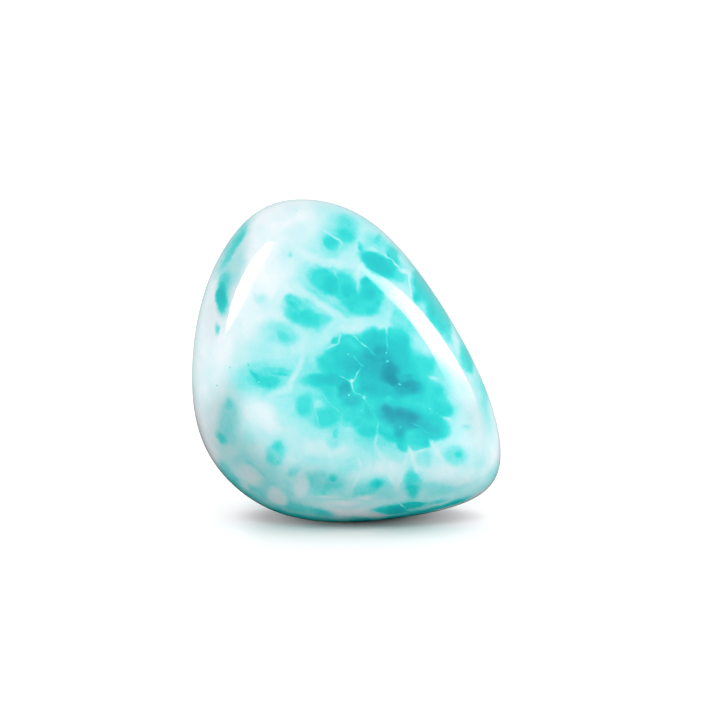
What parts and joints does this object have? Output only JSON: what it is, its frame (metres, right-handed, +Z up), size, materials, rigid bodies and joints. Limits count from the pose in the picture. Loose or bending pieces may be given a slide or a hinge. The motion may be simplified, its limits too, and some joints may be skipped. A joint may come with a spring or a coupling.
{
  "type": "polished smithsonite tumbled stone",
  "caption": "Glossy tumbled stone, a thick rounded triangle in white with blue-green flower-like patches, standing on its broad lower edge.",
  "frame": {"origin": "on the surface that the stone stands on, below the middle of its box", "axes": "+Z up, along the stone's height; -Y towards the viewer of the picture, through the stone's thickness; +X to the viewer's right, towards the low blunt corner"},
  "size_m": [0.0308, 0.0216, 0.0322],
  "materials": {
    "stone": "polished"
  },
  "bodies": {
    "root": {"stone": "stone"}
  },
  "joints": []
}
